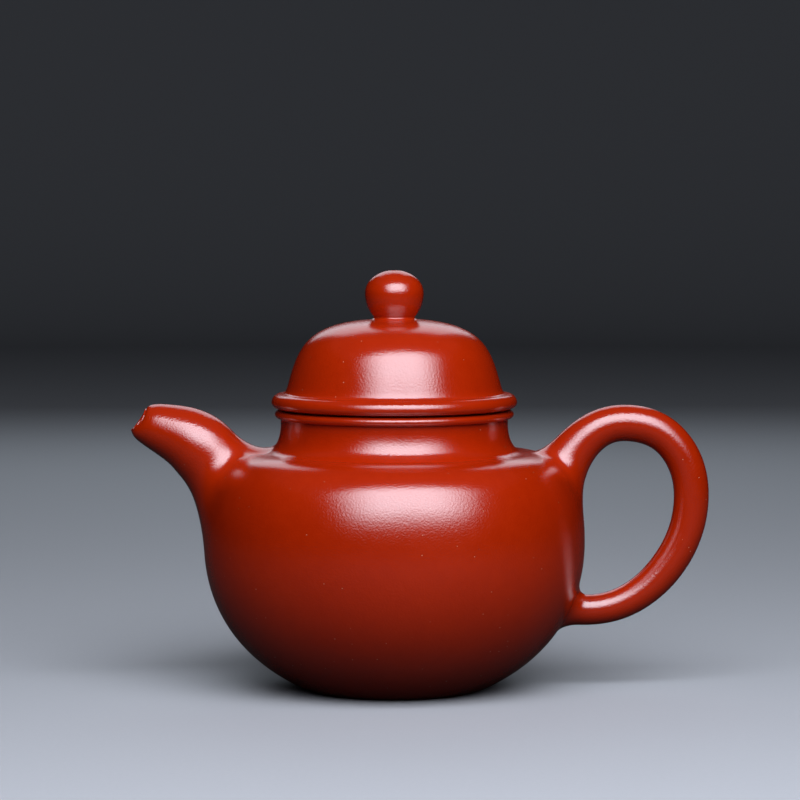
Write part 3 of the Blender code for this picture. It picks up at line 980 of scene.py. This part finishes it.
class TEAPOT_OT_turn_lid(bpy.types.Operator):
    """Turn the dome, seat flange, fitting collar and pearl knob of the lid"""
    bl_idname = "clay_teapot.turn_lid"
    bl_label = "Turn the Lid"

    def execute(self, context):
        settings = context.scene.clay_teapot
        wall, air = settings.pot.wall / MM, settings.lid.air_hole / MM
        crown, bore = settings.lid.dome_height / MM, COLLAR_R - settings.lid.collar_wall / MM
        foot = (DOME_FOOT_R, DOME_FOOT_Z)
        level = (DOME_PULL_R, crown + DOME_PULL_RISE)
        dome = bezier((0.0, crown), level, DOME_SIDE_PULL, foot, 84)
        dome_inside = inset(dome, wall)
        roll = (FLANGE_R - FLANGE_ROLL_R, FLANGE_ROLL_Z)
        valley = bezier(foot, *VALLEY_PULL, (roll[0], roll[1] + FLANGE_ROLL_R), 24)
        cove = cut(valley, 0, 0, FLANGE_SEAM_R)
        rim = cut(dome, 0, 0, KNOB_SEAT_R)[-1]
        outer = guarded([rim] + [p for p in dome if p[0] > KNOB_SEAT_R + 0.1] + cove[1:])
        inner = [p for p in dome_inside if p[0] > air + 0.3]
        inner = [(air, crown - wall)] + inner + [(inner[-1][0], cove[-1][1])]
        seat = [(air, KNOB_SEAT_Z), (KNOB_SEAT_R, KNOB_SEAT_Z)]
        lid_dome = turned("lid_domed_top", seat + outer + inner[::-1], settings, lift=LID_Z)

        edge = guarded(cut(valley, 0, FLANGE_SEAM_R, FLANGE_R)
                       + arc(roll, FLANGE_ROLL_R, 90, 0, 28)[1:]
                       + arc(roll, FLANGE_ROLL_R, 0, -90, 28,
                             squash=FLANGE_ROLL_Z / FLANGE_ROLL_R)[1:])
        flange = turned("lid_seat_flange", [(bore, edge[0][1])] + edge + [(bore, 0)], settings,
                        lift=LID_Z)

        skirt = arc((COLLAR_R - SKIRT_ROUND, SKIRT_ROUND - COLLAR_DEPTH), SKIRT_ROUND, 0, -90, 8)
        tuck = arc((bore + TUCK_ROUND, TUCK_ROUND - COLLAR_DEPTH), TUCK_ROUND, 270, 180, 6)
        collar = turned("lid_fitting_collar", [(bore, 0), (COLLAR_R, 0)] + skirt + tuck, settings,
                        lift=LID_Z, raw=True)

        crown_at = math.degrees(math.acos((air + HOLE_ROUND) / KNOB_R))
        rise = (KNOB_TOP - KNOB_Z) / math.sin(math.acos(air / KNOB_R))
        ball = arc((0, KNOB_Z), KNOB_R, crown_at, 0, 48, squash=rise / KNOB_R)
        ball += arc((0, KNOB_Z), KNOB_R, 0, KNOB_WAIST_AT, 32, squash=KNOB_DROP / KNOB_R)[1:]
        waist = bezier(ball[-1], KNOB_WAIST_PULL, (KNOB_FOOT_PULL_R, rim[1] + 0.03), rim, 20)[1:]
        hole = arc((air + HOLE_ROUND, ball[0][1] - HOLE_ROUND), HOLE_ROUND, 180, 95, 6)
        knob = turned("pearl_knob", hole + ball[1:] + guarded(waist)[1:] + seat[::-1], settings,
                      lift=LID_Z)

        for obj in (lid_dome, flange):
            line_inside(obj, LID_LINING_Z, settings)
        for obj, cad, slot in ((lid_dome, "lid_dome", "red_clay"),
                               (flange, "lid_flange", "red_clay"),
                               (collar, "lid_collar", "inner_clay"),
                               (knob, "knob", "red_clay")):
            finish_piece(obj, "lid", cad, slot)
        return {"FINISHED"}


class TEAPOT_OT_set_stage(bpy.types.Operator):
    """Lay the pale floor, hang two soft lights, and set the camera"""
    bl_idname = "clay_teapot.set_stage"
    bl_label = "Set the Stage"

    def execute(self, context):
        stage = context.scene.clay_teapot.stage
        self.lay_floor(stage)
        self.softbox("key_softbox", azimuth=9.5, elevation=37.0, distance=0.52, size=(1.05, 0.56),
                     power=stage.key, colour=(0.86, 0.90, 1.0), graded=True)
        self.softbox("back_softbox", azimuth=182.0, elevation=33.0, distance=0.75,
                     size=(0.50, 0.46), power=stage.back, colour=(0.82, 0.91, 1.0), graded=False)
        world = bpy.data.worlds.new("dim_room")
        world.use_nodes = True
        background = world.node_tree.nodes["Background"]
        background.inputs["Color"].default_value = (0.80, 0.86, 1.0, 1.0)
        background.inputs["Strength"].default_value = stage.sky
        context.scene.world = world
        data = bpy.data.cameras.new("camera")
        data.lens, data.sensor_width = CAMERA_LENS, 36.0
        data.clip_start, data.clip_end = 0.05, 20.0
        camera = bpy.data.objects.new("camera", data)
        camera.location = CAMERA_AT
        camera.rotation_euler = (math.radians(90 - CAMERA_DIP), 0.0, 0.0)
        context.scene.collection.objects.link(camera)
        context.scene.camera = camera
        context.scene.view_settings.view_transform = "Standard"
        return {"FINISHED"}

    def lay_floor(self, stage):
        """A round floor that sweeps up into a low wall far behind the lights."""
        flat, bend = 1.5, 0.9
        line = [(0.0, 0.0), (0.3, 0.0), (0.9, 0.0), (flat, 0.0)]
        line += [(flat + bend * math.sin(a), bend - bend * math.cos(a))
                 for a in np.linspace(0, math.pi / 2, 25)[1:]]
        line.append((flat + bend, 2.2))
        turn = np.linspace(0, TAU, 128, endpoint=False)
        low = CAD_BOX[0].z - FLOOR_DROP
        rows = [np.stack([r * np.cos(turn), r * np.sin(turn), 0 * turn + z + low], -1) / MM
                for r, z in line]
        paper = bpy.data.materials.new("pale_floor")
        paper.use_nodes = True
        tree = paper.node_tree
        place = node(tree, "ShaderNodeTexCoord").outputs["Object"]
        grain = noise(tree, place, 900.0, 3.0)
        colour = mixed_colour(tree, grain, tuple(0.95 * c for c in stage.floor), stage.floor)
        shader = tree.nodes["Principled BSDF"]
        # painted shade: rays other than the camera's see the floor dimmed to its bounce share, so
        # the pot's lower belly shows a dark reflection and gets little bounce
        seen = node(tree, "ShaderNodeLightPath").outputs["Is Camera Ray"]
        colour = mixed_colour(tree, seen, tuple(c * stage.bounce for c in stage.floor), colour)
        tree.links.new(colour, shader.inputs["Base Color"])
        shader.inputs["Roughness"].default_value = 0.85
        shader.inputs["Specular IOR Level"].default_value = 0.15
        floor = lofted("floor_sweep", rows, [paper])

    def softbox(self, name, *, azimuth, elevation, distance, size, power, colour, graded):
        """An area light that faces the pot; a graded one fades toward its sides and lower edge."""
        a, e = math.radians(azimuth), math.radians(elevation)
        out = Vector((math.sin(a) * math.cos(e), -math.cos(a) * math.cos(e), math.sin(e)))
        data = bpy.data.lights.new(name, "AREA")
        data.shape, data.size, data.size_y = "RECTANGLE", size[0], size[1]
        data.energy, data.color = power, colour
        if graded:
            data.use_nodes = True
            tree = data.node_tree
            place = node(tree, "ShaderNodeNewGeometry").outputs["Parametric"]
            across, up = node(tree, "ShaderNodeSeparateXYZ", {0: place}).outputs[:2]
            rise = flow(tree, "ShaderNodeMapRange",
                        {"Value": up, "From Min": 0.0, "From Max": 0.45},
                        interpolation_type="SMOOTHSTEP")
            off = sums(tree, "ABSOLUTE", sums(tree, "MULTIPLY_ADD", across, 2.0, -1.0))
            spread = flow(tree, "ShaderNodeMapRange",
                          {"Value": off, "From Min": 0.2, "From Max": 0.95, "To Min": 1.0,
                           "To Max": 0.0}, interpolation_type="SMOOTHSTEP")
            tree.links.new(times(tree, rise, spread),
                           tree.nodes["Emission"].inputs["Strength"])
        light = bpy.data.objects.new(name, data)
        light.location = Vector(LIT_POINT) + out * distance
        light.rotation_euler = out.to_track_quat("Z", "Y").to_euler()
        light.visible_camera = False
        bpy.context.scene.collection.objects.link(light)


class TEAPOT_PT_panel(bpy.types.Panel):
    """Sizes, finish and steps of the teapot"""
    bl_idname = "TEAPOT_PT_panel"
    bl_label = "Clay Teapot"
    bl_space_type = "VIEW_3D"
    bl_region_type = "UI"
    bl_category = "Teapot"

    def draw(self, context):
        settings = context.scene.clay_teapot
        for group in ("pot", "lid", "spout", "finish", "stage"):
            box = self.layout.box()
            box.label(text=group.title())
            values = getattr(settings, group)
            for name in values.__annotations__:
                box.prop(values, name)
        self.layout.prop(settings, "show_inside")
        for step in STEPS:
            self.layout.operator(step.bl_idname)


STEPS = (TEAPOT_OT_turn_pot, TEAPOT_OT_roll_spout, TEAPOT_OT_pierce_strainer,
         TEAPOT_OT_roll_handle, TEAPOT_OT_turn_lid, TEAPOT_OT_set_stage)
GROUPS = (PotSizes, LidSizes, SpoutSizes, ClayFinish, StageSettings, TeapotSettings)
CLASSES = GROUPS + STEPS + (TEAPOT_PT_panel,)


def register():
    for item in CLASSES:
        bpy.utils.register_class(item)
    bpy.types.Scene.clay_teapot = PointerProperty(type=TeapotSettings)


def unregister():
    del bpy.types.Scene.clay_teapot
    for item in reversed(CLASSES):
        bpy.utils.unregister_class(item)


def main():
    """Makes every piece in order."""
    register()
    bpy.ops.clay_teapot.turn_pot()
    bpy.ops.clay_teapot.roll_spout()
    bpy.ops.clay_teapot.pierce_strainer()
    bpy.ops.clay_teapot.roll_handle()
    bpy.ops.clay_teapot.turn_lid()
    bpy.ops.clay_teapot.set_stage()


if __name__ == "__main__":
    main()
